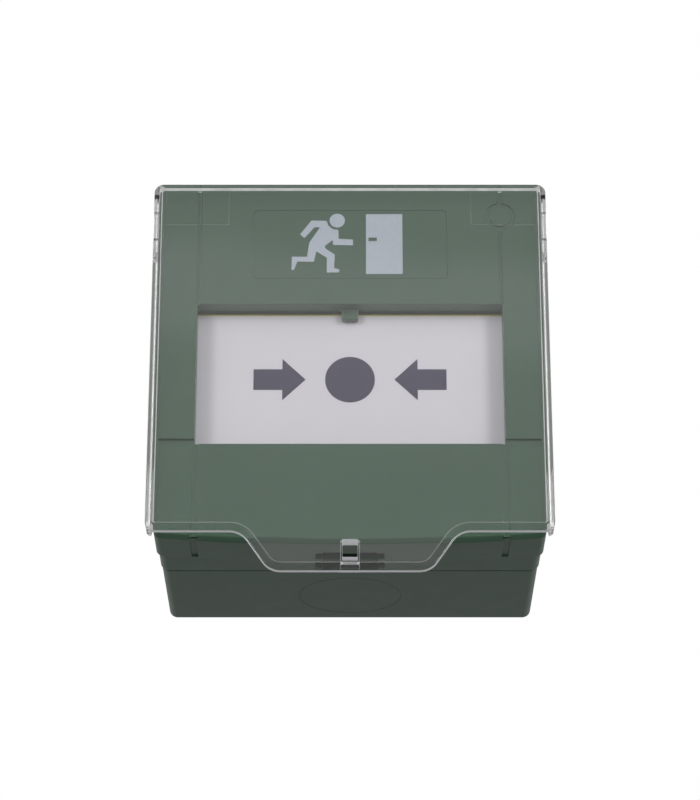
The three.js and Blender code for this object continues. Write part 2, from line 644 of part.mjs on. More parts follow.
function makeBoard() {
  const shape = roundedRect(-BOARD_HALF, BOARD_HALF, BOARD_BOTTOM, BOARD_TOP, 1.5);
  let solid = plateAcrossY(shape, BOARD_FRONT_Y, BOARD_REAR_Y);
  for (const [, side] of SIDES) {
    const hole = barY(side * BOARD_SCREW_X, BOARD_SCREW_Z, 1.7, BOARD_FRONT_Y - 1, BOARD_REAR_Y + 1);
    solid = cut(solid, hole);
  }
  return solid;
}

const PLUNGER_HALF_X = 1.3;
const PLUNGER_HALF_Z = 1;

function makeSwitchBody(side) {
  const x = side * SWITCH_X;
  const halfLength = SWITCH_LENGTH / 2;
  const halfHeight = SWITCH_HEIGHT / 2;
  const body = block(
    x - halfLength, x + halfLength, SWITCH_FRONT_Y, SWITCH_REAR_Y,
    SWITCH_Z - halfHeight, SWITCH_Z + halfHeight);
  const pocket = block(
    x - PLUNGER_HALF_X - GAP, x + PLUNGER_HALF_X + GAP, SWITCH_FRONT_Y - 1, SWITCH_FRONT_Y + 3.3,
    SWITCH_Z - PLUNGER_HALF_Z - GAP, SWITCH_Z + PLUNGER_HALF_Z + GAP);
  return cut(body, pocket);
}

function makePlunger(side) {
  const x = side * SWITCH_X;
  return block(
    x - PLUNGER_HALF_X, x + PLUNGER_HALF_X, SWITCH_FRONT_Y - PLUNGER_OUT, SWITCH_FRONT_Y + 1.8,
    SWITCH_Z - PLUNGER_HALF_Z, SWITCH_Z + PLUNGER_HALF_Z);
}

const poleX = (pole) => (pole - (TERMINAL_POLES - 1) / 2) * TERMINAL_PITCH;

function makeTerminalBlock() {
  const halfWidth = TERMINAL_POLES * TERMINAL_PITCH / 2;
  let solid = block(
    -halfWidth, halfWidth, TERMINAL_FRONT_Y, TERMINAL_REAR_Y, -TERMINAL_HALF_HEIGHT, TERMINAL_HALF_HEIGHT);
  for (let pole = 0; pole < TERMINAL_POLES; pole += 1) {
    const x = poleX(pole);
    const screwHole = barY(x, 1, 2.05, TERMINAL_REAR_Y - 5.4, TERMINAL_REAR_Y + 1, 16);
    const wireHole = block(
      x - 1.6, x + 1.6, TERMINAL_FRONT_Y + 1.6, TERMINAL_FRONT_Y + 4.6, -TERMINAL_HALF_HEIGHT - 1, 2);
    solid = cut(solid, screwHole, wireHole);
  }
  return solid;
}

function slottedScrew(x, z, headRadius, shankRadius, headFront, headDepth, length) {
  const head = barY(x, z, headRadius, headFront, headFront + headDepth, 20);
  const shank = barY(x, z, shankRadius, headFront + headDepth / 2, headFront + length, 16);
  const slot = block(x - headRadius, x + headRadius, headFront - 1, headFront + 0.7, z - 0.35, z + 0.35);
  return cut(join(head, shank), slot);
}

// Terminal screws are driven from the back, so their slots face the wall
function makeTerminalScrew(x, z, rearY) {
  const screw = barY(x, z, 1.7, rearY - 3.6, rearY - 0.6, 16);
  return cut(screw, block(x - 2, x + 2, rearY - 1.3, rearY, z - 0.35, z + 0.35));
}

function makeEarthTerminal() {
  const screwHole = barY(
    EARTH_X, EARTH_Z, EARTH_SCREW_RADIUS + 0.4, EARTH_FRONT_Y - 1, EARTH_FRONT_Y + 3.1, 16);
  const body = block(
    EARTH_X - EARTH_HALF, EARTH_X + EARTH_HALF, EARTH_FRONT_Y, EARTH_FRONT_Y + EARTH_DEPTH,
    EARTH_Z - EARTH_HALF, EARTH_Z + EARTH_HALF);
  const wireHole = block(
    EARTH_X - EARTH_HALF - 1, EARTH_X + EARTH_HALF + 1, EARTH_FRONT_Y + 3.7, EARTH_FRONT_Y + 5.3,
    EARTH_Z - 1, EARTH_Z + 1);
  return cut(body, screwHole, wireHole);
}

function makeEarthScrew() {
  const front = EARTH_FRONT_Y - 1.1;
  const screw = barY(EARTH_X, EARTH_Z, EARTH_SCREW_RADIUS, front, front + 3.8, 16);
  const slot = block(EARTH_X - 2, EARTH_X + 2, front - 1, front + 0.7, EARTH_Z - 0.3, EARTH_Z + 0.3);
  return cut(screw, slot);
}

// --------------------------------------------------------------- reset slider

function makeResetSlider() {
  const footFront = KEY_SLOT_Y - 1.6;
  const stemBottom = -CHASSIS_INNER_HALF + 2 * GAP;
  const stem = block(
    -SLIDER_HALF, SLIDER_HALF, SLIDER_STEM_FRONT_Y, SLIDER_STEM_REAR_Y, stemBottom, SLIDER_TOP);
  const foot = block(
    -SLIDER_HALF, SLIDER_HALF, footFront, CHASSIS_FRONT_Y - GAP,
    SLIDER_FOOT_BOTTOM, stemBottom + 1.6);
  return join(stem, foot);
}

function makeResetSpring() {
  const y = (SLIDER_STEM_FRONT_Y + SLIDER_STEM_REAR_Y) / 2;
  const low = SLIDER_TOP + GAP;
  const high = SPRING_SHELF_Z - GAP;
  return cut(
    barZ(0, y, SPRING_RADIUS, low, high, 16),
    barZ(0, y, SPRING_RADIUS - SPRING_WIRE, low - 1, high + 1, 16));
}

// -------------------------------------------------------------------- assembly

place('back_box', makeBackBox(), greenPlastic);
place('sealing_gasket', makeGasket(), foam);
place('chassis', makeChassis(), greenPlastic);
place('circuit_board', makeBoard(), boardResin);
place('terminal_block', makeTerminalBlock(), greyPlastic);
place('earth_terminal', makeEarthTerminal(), brass);
place('earth_screw', makeEarthScrew(), plating);
place('indicator_strip', makeIndicatorStrip(), yellowPlastic);
place('element_plate', makeElementPlate(), whitePlastic);
place('element_carrier', makeCarrier(), greyPlastic);
place('reset_slider', makeResetSlider(), blackPlastic);
place('reset_spring', makeResetSpring(), plating);
place('front_cap', makeFrontCap(), greenPlastic);
place('sign_label', makeSignLabel(), labelFilm);
place('clear_flap', makeFlap(), clearPlastic);

for (const [name, side] of SIDES) {
  const chassisScrew = slottedScrew(
    side * CHASSIS_SCREW_X, 0, 2.9, 1.45, PLATE_FRONT_Y - GAP - 2, 2, 18);
  const boardScrew = slottedScrew(
    side * BOARD_SCREW_X, BOARD_SCREW_Z, 2.6, 1.25, BOARD_FRONT_Y - GAP - 1.6, 1.6, 5.6);
  place(`chassis_screw_${name}`, chassisScrew, plating);
  place(`board_screw_${name}`, boardScrew, plating);
  place(`microswitch_${name}`, makeSwitchBody(side), blackPlastic);
  place(`switch_plunger_${name}`, makePlunger(side), redPlastic);
}

for (let pole = 0; pole < TERMINAL_POLES; pole += 1) {
  place(`terminal_screw_${pole + 1}`, makeTerminalScrew(poleX(pole), 1, TERMINAL_REAR_Y), plating);
}

export default callPoint;
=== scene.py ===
import json
import math

import bmesh
import bpy
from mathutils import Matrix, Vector


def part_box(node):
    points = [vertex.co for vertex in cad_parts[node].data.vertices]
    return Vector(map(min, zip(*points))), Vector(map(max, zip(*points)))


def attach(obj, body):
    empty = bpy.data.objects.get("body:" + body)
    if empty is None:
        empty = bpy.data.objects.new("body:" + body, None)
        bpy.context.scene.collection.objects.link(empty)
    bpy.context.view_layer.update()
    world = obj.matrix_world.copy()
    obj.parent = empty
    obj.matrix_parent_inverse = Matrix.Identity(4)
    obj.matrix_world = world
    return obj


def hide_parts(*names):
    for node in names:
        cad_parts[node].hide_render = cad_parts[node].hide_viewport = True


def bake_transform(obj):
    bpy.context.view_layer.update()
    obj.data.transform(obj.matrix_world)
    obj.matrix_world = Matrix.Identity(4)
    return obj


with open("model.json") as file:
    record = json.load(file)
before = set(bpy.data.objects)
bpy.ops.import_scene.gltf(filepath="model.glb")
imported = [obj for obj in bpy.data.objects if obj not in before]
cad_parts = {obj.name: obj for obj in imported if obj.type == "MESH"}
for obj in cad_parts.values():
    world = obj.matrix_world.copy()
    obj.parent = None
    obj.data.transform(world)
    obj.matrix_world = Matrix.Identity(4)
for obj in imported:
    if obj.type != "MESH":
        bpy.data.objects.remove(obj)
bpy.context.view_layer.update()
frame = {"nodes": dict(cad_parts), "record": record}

# A manual call point for an emergency exit. Metres, +Z up, the front faces -Y,
# and the origin is the centre of the wall box's back face.

MM = 0.001
SIDES = {"left": -1, "right": 1}

scene = bpy.context.scene
scene.view_settings.view_transform = "Standard"
scene.view_settings.look = "None"

# ---------------------------------------------------------------------- camera

CAMERA_LENS = 131.4
CAMERA_RISE = math.radians(23.61)      # the camera looks up at the face by this angle
CAMERA_DISTANCE = 0.675
AIM_BELOW_CENTRE = 12.8 * MM


def make_camera():
    flap_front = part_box("clear_flap")[0][1]
    aim = Vector((0, flap_front, -AIM_BELOW_CENTRE))
    view = Vector((0, math.cos(CAMERA_RISE), math.sin(CAMERA_RISE)))
    data = bpy.data.cameras.new("camera")
    data.lens = CAMERA_LENS
    data.clip_start = 0.01
    camera = bpy.data.objects.new("camera", data)
    camera.location = aim - CAMERA_DISTANCE * view
    camera.rotation_euler = (math.pi / 2 + CAMERA_RISE, 0, 0)
    scene.collection.objects.link(camera)
    scene.camera = camera


make_camera()

# ----------------------------------------------------------------- node helpers


class Nodes:
    """Adds nodes to a tree and links them, one call each."""

    def __init__(self, tree):
        self.tree = tree
        tree.nodes.clear()

    def add(self, kind, **settings):
        node = self.tree.nodes.new(kind)
        for name, value in settings.items():
            setattr(node, name, value)
        return node

    def link(self, source, target):
        self.tree.links.new(source, target)

    def put(self, socket, value):
        """A number or colour is set on the socket, an output is linked to it."""
        if isinstance(value, bpy.types.NodeSocket):
            self.link(value, socket)
        else:
            socket.default_value = value

    def math(self, operation, a, b):
        node = self.add("ShaderNodeMath", operation=operation)
        self.put(node.inputs[0], a)
        self.put(node.inputs[1], b)
        return node.outputs[0]

    def noise(self, coords, scale, detail=2.0, roughness=0.5):
        node = self.add("ShaderNodeTexNoise")
        self.link(coords, node.inputs["Vector"])
        node.inputs["Scale"].default_value = scale
        node.inputs["Detail"].default_value = detail
        node.inputs["Roughness"].default_value = roughness
        return node.outputs["Fac"]

    def spread(self, value, low, high, to_low=0.0, to_high=1.0):
        """Maps a range of a value smoothly to another range, and no further."""
        node = self.add("ShaderNodeMapRange", interpolation_type="SMOOTHSTEP")
        self.put(node.inputs["Value"], value)
        node.inputs["From Min"].default_value = low
        node.inputs["From Max"].default_value = high
        node.inputs["To Min"].default_value = to_low
        node.inputs["To Max"].default_value = to_high
        return node.outputs["Result"]

    def mix(self, factor, a, b):
        """Mixes two colours."""
        node = self.add("ShaderNodeMix", data_type="RGBA")
        self.put(node.inputs["Factor"], factor)
        self.put(node.inputs["A"], a)
        self.put(node.inputs["B"], b)
        return node.outputs["Result"]

    def mix_number(self, factor, a, b):
        node = self.add("ShaderNodeMix", data_type="FLOAT")
        self.put(node.inputs["Factor"], factor)
        self.put(node.inputs["A"], a)
        self.put(node.inputs["B"], b)
        return node.outputs["Result"]

    def blend(self, factor, first, second):
        """Mixes two shaders."""
        node = self.add("ShaderNodeMixShader")
        self.put(node.inputs[0], factor)
        self.link(first, node.inputs[1])
        self.link(second, node.inputs[2])
        return node.outputs[0]

    def bump(self, height, strength, distance):
        node = self.add("ShaderNodeBump")
        self.put(node.inputs["Height"], height)
        node.inputs["Strength"].default_value = strength
        node.inputs["Distance"].default_value = distance
        return node.outputs["Normal"]


def colour(red, green, blue):
    return (red, green, blue, 1.0)


def new_material(name):
    material = bpy.data.materials.new(name)
    material.use_nodes = True
    nodes = Nodes(material.node_tree)
    coords = nodes.add("ShaderNodeTexCoord").outputs["Object"]
    return material, nodes, coords


def finish_material(nodes, shader):
    output = nodes.add("ShaderNodeOutputMaterial")
    nodes.link(shader, output.inputs["Surface"])


# -------------------------------------------------------------------- materials

GRAIN = 3200                           # noise cells per metre of a fine moulded grain
BLOTCH = 45                            # slow changes of shade over a few centimetres
WEAR = 160                             # patches handled a little smoother or rougher
DUST_CELLS = 420                       # cells per metre that may hold a speck of dust
DUST = colour(0.5, 0.52, 0.5)
CLEAR_IOR = 1.49
DEEPEST_BOUNCE = 5.5                   # rays caught inside the clear plastic for longer go straight on


def add_dust(nodes, coords, base, amount):
    """Pale specks in a few of the cells."""
    cells = nodes.add("ShaderNodeTexVoronoi")
    nodes.link(coords, cells.inputs["Vector"])
    cells.inputs["Scale"].default_value = DUST_CELLS
    dot = nodes.spread(cells.outputs["Distance"], 0.02, 0.09, 1.0, 0.0)
    choice = nodes.spread(nodes.noise(coords, 900, 0.0), 0.62, 0.72)
    share = nodes.math("MULTIPLY", nodes.math("MULTIPLY", dot, choice), amount)
    return nodes.mix(share, base, DUST)


def moulded_plastic(name, shade, rough=0.5, grain=0.25, vary=0.02, specks=0.0):
    """Moulded plastic: a fine grain, slow changes of shade, and a little dust."""
    material, nodes, coords = new_material(name)
    shader = nodes.add("ShaderNodeBsdfPrincipled")
    blotch = nodes.noise(coords, BLOTCH, 3.0, 0.6)
    fine = nodes.noise(coords, GRAIN, 2.0, 0.6)
    dark = colour(*(channel * (1 - vary) for channel in shade))
    light = colour(*(channel * (1 + vary) for channel in shade))
    base = nodes.mix(nodes.spread(blotch, 0.35, 0.65), dark, light)
    base = nodes.mix(nodes.spread(fine, 0.3, 0.7, 0.0, 0.35), base, light)
    if specks:
        base = add_dust(nodes, coords, base, specks)
    nodes.link(base, shader.inputs["Base Color"])
    worn = nodes.noise(coords, WEAR, 4.0, 0.6)
    nodes.link(nodes.spread(worn, 0.3, 0.7, rough - 0.02, rough + 0.02), shader.inputs["Roughness"])
    nodes.link(nodes.bump(fine, grain, 0.05 * MM), shader.inputs["Normal"])
    finish_material(nodes, shader.outputs[0])
    return material


def plated_metal(name, shade, rough=0.32):
    """Plated metal with fine drawn lines and duller patches."""
    material, nodes, coords = new_material(name)
    shader = nodes.add("ShaderNodeBsdfPrincipled")
    shader.inputs["Metallic"].default_value = 1.0
    stretch = nodes.add("ShaderNodeMapping")
    nodes.link(coords, stretch.inputs["Vector"])
    stretch.inputs["Scale"].default_value = (1.0, 0.08, 1.0)
    lines = nodes.noise(stretch.outputs[0], 4000, 3.0)
    patches = nodes.noise(coords, 300, 3.0, 0.6)
    dull = colour(*(channel * 0.7 for channel in shade))
    nodes.link(
        nodes.mix(nodes.spread(patches, 0.35, 0.7), dull, colour(*shade)), shader.inputs["Base Color"])
    nodes.link(nodes.spread(patches, 0.3, 0.7, rough + 0.12, rough), shader.inputs["Roughness"])
    nodes.link(nodes.bump(lines, 0.2, 0.02 * MM), shader.inputs["Normal"])
    finish_material(nodes, shader.outputs[0])
    return material


def let_light_through(nodes, surface):
    """Shadow, diffuse and long-trapped rays pass straight on, so the pane darkens nothing."""
    through = nodes.add("ShaderNodeBsdfTransparent")
    through.inputs["Color"].default_value = colour(0.95, 0.945, 0.95)
    path = nodes.add("ShaderNodeLightPath")
    straight = nodes.math("MAXIMUM", path.outputs["Is Shadow Ray"], path.outputs["Is Diffuse Ray"])
    trapped = nodes.math("GREATER_THAN", path.outputs["Ray Depth"], DEEPEST_BOUNCE)
    straight = nodes.math("MAXIMUM", straight, trapped)
    return nodes.blend(straight, surface, through.outputs[0])


def clear_plastic(name, highlight_share=0.0):
    """Clear moulded plastic with faint ripples and fine wear, and a share of pale diffuse colour
    painted on as a highlight.
    """
    material, nodes, coords = new_material(name)
    shader = nodes.add("ShaderNodeBsdfPrincipled")
    shader.inputs["Base Color"].default_value = colour(0.985, 0.98, 0.985)
    shader.inputs["IOR"].default_value = CLEAR_IOR
    shader.inputs["Transmission Weight"].default_value = 1.0
    wear = nodes.noise(coords, 240, 5.0, 0.7)
    nodes.link(nodes.spread(wear, 0.35, 0.75, 0.015, 0.06), shader.inputs["Roughness"])
    ripple = nodes.noise(coords, 26, 1.0)
    nodes.link(nodes.bump(ripple, 0.12, 0.4 * MM), shader.inputs["Normal"])
    surface = let_light_through(nodes, shader.outputs[0])
    if highlight_share:
        # Painted highlight: a pale diffuse colour mixed into the clear plastic.
        highlight_paint = nodes.add("ShaderNodeBsdfDiffuse")
        highlight_paint.inputs["Color"].default_value = colour(0.93, 0.93, 0.95)
        share = nodes.spread(wear, 0.3, 0.7, 0.85 * highlight_share, 1.15 * highlight_share)
        surface = nodes.blend(share, surface, highlight_paint.outputs[0])
    finish_material(nodes, surface)
    return material


def piped_light_edge(name):
    """Pale edge of the clear pane: painted light, a pale colour that stands in for the light the pane
    gathers and lets out at its edges.
    """
    material, nodes, coords = new_material(name)
    glow_patches = nodes.noise(coords, 700, 3.0, 0.6)
    shade = nodes.mix(nodes.spread(glow_patches, 0.3, 0.7), colour(0.90, 0.90, 0.93), colour(0.96, 0.96, 0.99))
    skin = nodes.add("ShaderNodeBsdfPrincipled")
    nodes.link(shade, skin.inputs["Base Color"])
    skin.inputs["Roughness"].default_value = 0.5
    nodes.link(nodes.bump(nodes.noise(coords, 2600, 2.0), 0.2, 0.02 * MM), skin.inputs["Normal"])
    glow = nodes.add("ShaderNodeBsdfTranslucent")
    nodes.link(shade, glow.inputs["Color"])
    finish_material(nodes, nodes.blend(0.45, skin.outputs[0], glow.outputs[0]))
    return material


def foam_rubber(name):
    """Closed-cell foam with small pores, each painted darker towards its middle as painted shade."""
    material, nodes, coords = new_material(name)
    shader = nodes.add("ShaderNodeBsdfPrincipled")
    cells = nodes.add("ShaderNodeTexVoronoi")
    nodes.link(coords, cells.inputs["Vector"])
    cells.inputs["Scale"].default_value = 2200
    pores = nodes.spread(cells.outputs["Distance"], 0.0, 0.5)
    # Painted shade: darker towards each pore's middle, where the bump is lowest.
    base = nodes.mix(pores, colour(0.008, 0.008, 0.009), colour(0.03, 0.031, 0.033))
    nodes.link(base, shader.inputs["Base Color"])
    shader.inputs["Roughness"].default_value = 0.9
    nodes.link(nodes.bump(pores, 0.8, 0.15 * MM), shader.inputs["Normal"])
    finish_material(nodes, shader.outputs[0])
    return material


def board_resin(name):
    """Solder mask over a woven board."""
    material, nodes, coords = new_material(name)
    shader = nodes.add("ShaderNodeBsdfPrincipled")
    weave = nodes.add("ShaderNodeTexBrick")
    nodes.link(coords, weave.inputs["Vector"])
    weave.inputs["Scale"].default_value = 1500
    weave.inputs["Color1"].default_value = colour(0.012, 0.10, 0.045)
    weave.inputs["Color2"].default_value = colour(0.016, 0.12, 0.055)
    weave.inputs["Mortar"].default_value = colour(0.010, 0.08, 0.036)
    blotch = nodes.noise(coords, 120, 3.0)
    amount = nodes.spread(blotch, 0.3, 0.7, 0.0, 0.4)
    base = nodes.mix(amount, weave.outputs["Color"], colour(0.01, 0.085, 0.04))
    nodes.link(base, shader.inputs["Base Color"])
    shader.inputs["Roughness"].default_value = 0.35
    shader.inputs["Coat Weight"].default_value = 0.4
    nodes.link(nodes.bump(weave.outputs["Fac"], 0.15, 0.03 * MM), shader.inputs["Normal"])
    finish_material(nodes, shader.outputs[0])
    return material


def printed_ink(name, shade, rough=0.45):
    """Screen-printed ink: slightly uneven, with a fine grain."""
    material, nodes, coords = new_material(name)
    shader = nodes.add("ShaderNodeBsdfPrincipled")
    uneven = nodes.noise(coords, 1500, 3.0, 0.6)
    light = colour(*(channel * 1.04 for channel in shade))
    dark = colour(*(channel * 0.96 for channel in shade))
    nodes.link(nodes.mix(nodes.spread(uneven, 0.3, 0.7), dark, light), shader.inputs["Base Color"])
    nodes.link(nodes.spread(uneven, 0.3, 0.7, rough - 0.05, rough + 0.08), shader.inputs["Roughness"])
    nodes.link(nodes.bump(nodes.noise(coords, GRAIN, 2.0), 0.15, 0.02 * MM), shader.inputs["Normal"])
    finish_material(nodes, shader.outputs[0])
    return material


GREEN = (0.044, 0.098, 0.058)
WHITE = (0.745, 0.727, 0.775)
finishes = {
    "green_plastic": moulded_plastic("green_plastic", GREEN, rough=0.33, grain=0.05, specks=0.3),
    "white_plastic": moulded_plastic("white_plastic", WHITE, rough=0.42, grain=0.08, vary=0.008),
    "yellow_plastic": moulded_plastic("yellow_plastic", (0.62, 0.56, 0.06), rough=0.45, grain=0.15),
    "grey_plastic": moulded_plastic("grey_plastic", (0.20, 0.21, 0.22), rough=0.5),
    "black_plastic": moulded_plastic("black_plastic", (0.012, 0.013, 0.014), rough=0.45),
    "red_plastic": moulded_plastic("red_plastic", (0.45, 0.04, 0.03), rough=0.4),
    "board_resin": board_resin("board_resin"),
    "label_film": moulded_plastic("label_film", GREEN, rough=0.30, grain=0.08, vary=0.015),
    "foam_rubber": foam_rubber("foam_rubber"),
    "plated_steel": plated_metal("plated_steel", (0.55, 0.56, 0.57)),
    "brass": plated_metal("brass", (0.60, 0.43, 0.17)),
    "clear_plastic": clear_plastic("clear_plastic"),
}
grey_ink = printed_ink("grey_ink", (0.056, 0.051, 0.087))
pale_ink = printed_ink("pale_ink", (0.44, 0.50, 0.56))
masked_copper = printed_ink("masked_copper", (0.022, 0.20, 0.085), rough=0.3)
solder = plated_metal("solder", (0.62, 0.62, 0.63), rough=0.22)
resistor_body = printed_ink("resistor_body", (0.52, 0.40, 0.24))
# Painted light: the flap's edges and duct walls get a pale colour in place of the light piped through
# the pane.
flap_edge_painted_light = piped_light_edge("flap_edge_painted_light")
# Painted highlights: a pale diffuse share on the border's first step, and on a wider band at the top,
# stands in for edge highlights.
flap_painted_highlight = clear_plastic("flap_painted_highlight", highlight_share=0.5)
flap_painted_highlight_line = clear_plastic("flap_painted_highlight_line", highlight_share=0.17)

# ----------------------------------------------------------------- mesh helpers

WELD = 0.004 * MM                      # points nearer than this are one point

body_of_node = {
    node: body for body, nodes in frame["record"]["behaviour"]["bodies"].items() for node in nodes}


def settle(piece, body, slot, finish=None):
    """Says what a new piece rides on, what it's made of and how it looks."""
    piece.data.materials.clear()
    piece.data.materials.append(finish or finishes[slot])
    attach(piece, body)


def link_object(name, mesh):
    piece = bpy.data.objects.new(name, mesh)
    scene.collection.objects.link(piece)
    return piece


def smooth_by_angle(mesh, degrees=32):
    for face in mesh.polygons:
        face.use_smooth = True
    mesh.set_sharp_from_angle(angle=math.radians(degrees))


def evaluated_mesh(piece):
    """The piece's mesh with its modifiers applied."""
    bpy.context.view_layer.update()
    shaped = piece.evaluated_get(bpy.context.evaluated_depsgraph_get())
    return bpy.data.meshes.new_from_object(shaped)


def weigh_edges(work, width, degrees):
    """Marks every sharp edge for rounding, by less where the neighbouring edges are short."""
    weights = work.edges.layers.float.new("bevel_weight_edge")
    for edge in work.edges:
        if len(edge.link_faces) != 2 or edge.calc_face_angle(0) < math.radians(degrees):
            continue
        near = [
            other.calc_length() for vert in edge.verts for other in vert.link_edges
            if other is not edge]
        room = 0.42 * min(near + [edge.calc_length() * 1.2])
        edge[weights] = max(0.0, min(1.0, room / width))


def round_edges(mesh, width, segments, degrees=28):
    work = bmesh.new()
    work.from_mesh(mesh)
    bmesh.ops.remove_doubles(work, verts=work.verts, dist=WELD)
    bmesh.ops.dissolve_limit(
        work, angle_limit=math.radians(1.0), verts=work.verts, edges=work.edges)
    weigh_edges(work, width, degrees)
    work.to_mesh(mesh)
    work.free()
    smooth_by_angle(mesh, degrees)
    piece = link_object("rounding", mesh)
    bevel = piece.modifiers.new("rounding", "BEVEL")
    bevel.width = width
    bevel.segments = segments
    bevel.limit_method = "WEIGHT"
    bevel.use_clamp_overlap = False
    bevel.loop_slide = False
    rounded = evaluated_mesh(piece)
    bpy.data.objects.remove(piece)
    return rounded


def refine(node, slot, width, segments):
    """A copy of a CAD node with its edges rounded, which stands for that node."""
    rounded = round_edges(frame["nodes"][node].data.copy(), width, segments)
    piece = link_object(f"{node}_moulded", rounded)
    steady_shading(piece)
    settle(piece, body_of_node[node], slot)
    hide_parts(node)


def rounded_outline(corners, steps=7):
    """A closed outline from (u, v, radius) corners, each turned into an arc."""
    outline = []
    count = len(corners)
    for i, (u, v, radius) in enumerate(corners):
        here = Vector((u, v))
        back = (Vector(corners[i - 1][:2]) - here).normalized()
        ahead = (Vector(corners[(i + 1) % count][:2]) - here).normalized()
        if radius <= 0:
            outline.append((u, v))
            continue
        half_angle = back.angle(ahead) / 2
        centre = here + (back + ahead).normalized() * (radius / math.sin(half_angle))
        reach = radius / math.tan(half_angle)
        start = here + back * reach - centre
        end = here + ahead * reach - centre
        for step in range(steps + 1):
            along = start.slerp(end, step / steps).normalized()
            outline.append(tuple(centre + along * radius))
    return outline


def inset(outline, distance):
    """An anticlockwise outline moved inwards, each corner along its bisector."""
    moved = []
    count = len(outline)
    for i, point in enumerate(outline):
        here = Vector(point)
        before = (here - Vector(outline[i - 1])).normalized()
        after = (Vector(outline[(i + 1) % count]) - here).normalized()
        normal = Vector((-before.y, before.x))
        bisector = (normal + Vector((-after.y, after.x))).normalized()
        moved.append(tuple(here + bisector * (distance / max(0.3, bisector.dot(normal)))))
    return moved


def across_y(u, v, w):
    return (u * MM, w * MM, v * MM)


def across_x(u, v, w):
    return (w * MM, u * MM, v * MM)


def across_z(u, v, w):
    return (u * MM, v * MM, w * MM)


def join_loops(work, low, high):
    """A wall of faces between two rings of points."""
    count = len(low)
    for i in range(count):
        j = (i + 1) % count
        work.faces.new((low[i], high[i], high[j], low[j]))


def closed_piece(name, work):
    """An object from finished faces, all turned to point outwards."""
    bmesh.ops.recalc_face_normals(work, faces=work.faces)
    mesh = bpy.data.meshes.new(name)
    work.to_mesh(mesh)
    work.free()
    return link_object(name, mesh)


def lofted(name, outline, rings, place=across_y):
    """A closed solid from one outline: each ring is (inset, distance along the third axis)."""
    work = bmesh.new()
    loops = [
        [work.verts.new(place(u, v, w)) for u, v in inset(outline, shrink)] for shrink, w in rings]
    work.faces.new(loops[0])
    work.faces.new(list(reversed(loops[-1])))
    for low, high in zip(loops, loops[1:]):
        join_loops(work, low, high)
    return closed_piece(name, work)


def soft_rings(low, high, radius, steps=3):
    """Rings for a plate from low to high whose two edges are rounded."""
    turns = [math.pi / 2 * step / steps for step in range(steps + 1)]
    first = [(radius * (1 - math.sin(t)), low + radius * (1 - math.cos(t))) for t in turns]
    last = [(shrink, low + high - w) for shrink, w in reversed(first)]
    return first + last


def rounded_rectangle(x, z, radius, steps=7):
    return rounded_outline([
        (x[0], z[0], radius), (x[1], z[0], radius), (x[1], z[1], radius), (x[0], z[1], radius)], steps)


def soft_block(name, x, y, z, radius=0.2):
    """A block between low and high x, y and z, in millimetres, with rounded edges."""
    return lofted(name, rounded_rectangle(x, z, radius, 3), soft_rings(y[0], y[1], radius * 0.9))


def prism(name, x, y, z, taper=0.0):
    """A cutting tool with sharp ends, wider at its low y end where the taper is negative."""
    return lofted(name, rounded_rectangle(x, z, 0.2, 3), [(taper, y[0]), (0, y[1])])


def boolean(base, other, operation):
    modifier = base.modifiers.new("boolean", "BOOLEAN")
    modifier.object = other
    modifier.operation = operation
    modifier.solver = "EXACT"
    mesh = evaluated_mesh(base)
    base.modifiers.clear()
    base.data = mesh
    bpy.data.objects.remove(other)


def weld(piece):
    """Merges the hair-thin slivers that a boolean can leave."""
    work = bmesh.new()
    work.from_mesh(piece.data)
    bmesh.ops.remove_doubles(work, verts=work.verts, dist=WELD)
    bmesh.ops.dissolve_degenerate(work, dist=0.002 * MM, edges=work.edges)
    work.to_mesh(piece.data)
    work.free()


def steady_shading(piece, degrees=35):
    """Smooth shading that leaves the large flat faces flat."""
    smooth_by_angle(piece.data, degrees)
    normals = piece.modifiers.new("normals", "WEIGHTED_NORMAL")
    normals.keep_sharp = True
    normals.weight = 100
    mesh = evaluated_mesh(piece)
    piece.modifiers.clear()
    piece.data = mesh


def printed(name, outlines, face_y, thickness, body, slot, finish):
    """Flat marks on a face: closed outlines in x and z, standing a hair proud of it."""
    work = bmesh.new()
    for outline in outlines:
        back = [work.verts.new((x * MM, face_y + 0.02 * MM, z * MM)) for x, z in outline]
        front = [work.verts.new((x * MM, face_y - thickness, z * MM)) for x, z in outline]
        work.faces.new(back)
        work.faces.new(list(reversed(front)))
        join_loops(work, back, front)
    settle(closed_piece(name, work), body, slot, finish)


def circle(x, z, radius, steps=64):
    turns = (2 * math.pi * i / steps for i in range(steps))
    return [(x + radius * math.cos(t), z + radius * math.sin(t)) for t in turns]


def wire(name, path, radius, resolution, degrees):
    """A round wire through the points of a path, with closed ends."""
    curve = bpy.data.curves.new(name, "CURVE")
    curve.dimensions = "3D"
    curve.bevel_depth = radius
    curve.bevel_resolution = resolution
    curve.use_fill_caps = True
    line = curve.splines.new("POLY")
    line.points.add(len(path) - 1)
    for point, place in zip(line.points, path):
        point.co = (*place, 1)
    holder = link_object("wire_path", curve)
    mesh = bpy.data.meshes.new_from_object(holder)
    bpy.data.objects.remove(holder)
    smooth_by_angle(mesh, degrees)
    return link_object(name, mesh)


# ------------------------------------------------------------------ the printing

